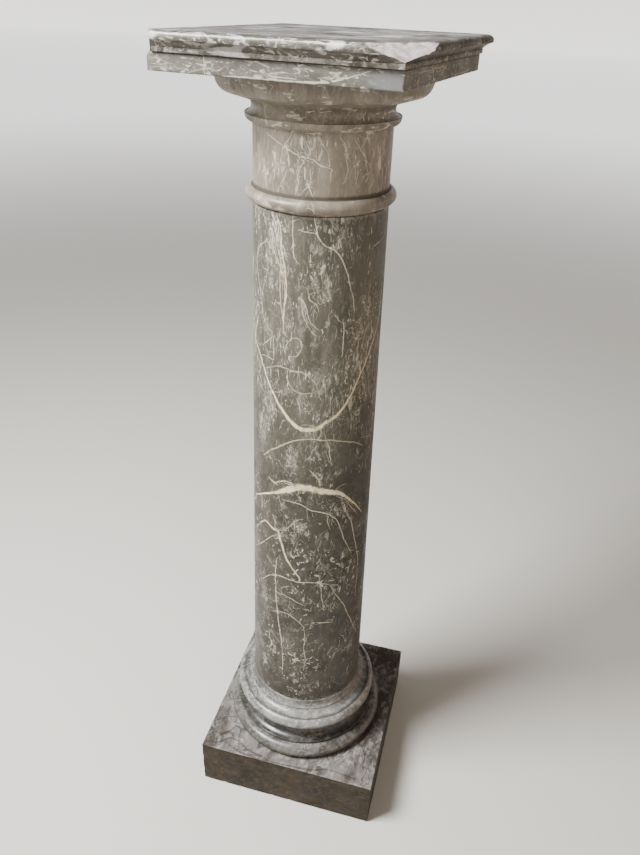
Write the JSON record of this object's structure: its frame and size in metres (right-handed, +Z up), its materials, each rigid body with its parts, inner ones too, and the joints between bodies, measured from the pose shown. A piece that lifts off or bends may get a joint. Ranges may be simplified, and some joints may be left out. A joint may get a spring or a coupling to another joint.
{
  "type": "doric pedestal column",
  "caption": "Square plinth, turned base, plain tapering shaft, turned capital and moulded square top plate; stands on its flat underside and carries a load on top.",
  "frame": {"origin": "centre of the plinth's underside", "axes": "+Z up along the column; the plinth's sides run along X and Y, with the broken corner of the top towards -Y"},
  "size_m": [0.3116, 0.318, 1.1],
  "materials": {
    "plinth_stone": "worn polished marble, pinkish grey",
    "base_stone": "worn polished marble, grey",
    "shaft_stone": "polished marble, olive grey with cream veins",
    "capital_stone": "worn marble, brownish grey with pale flecks",
    "abacus_stone": "worn marble, light grey with white flecks",
    "top_stone": "worn marble, dark grey, one corner broken"
  },
  "bodies": {
    "root": {"plinth": "plinth_stone", "base": "base_stone", "shaft": "shaft_stone", "capital": "capital_stone", "abacus": "abacus_stone", "top_slab": "top_stone"}
  },
  "joints": []
}
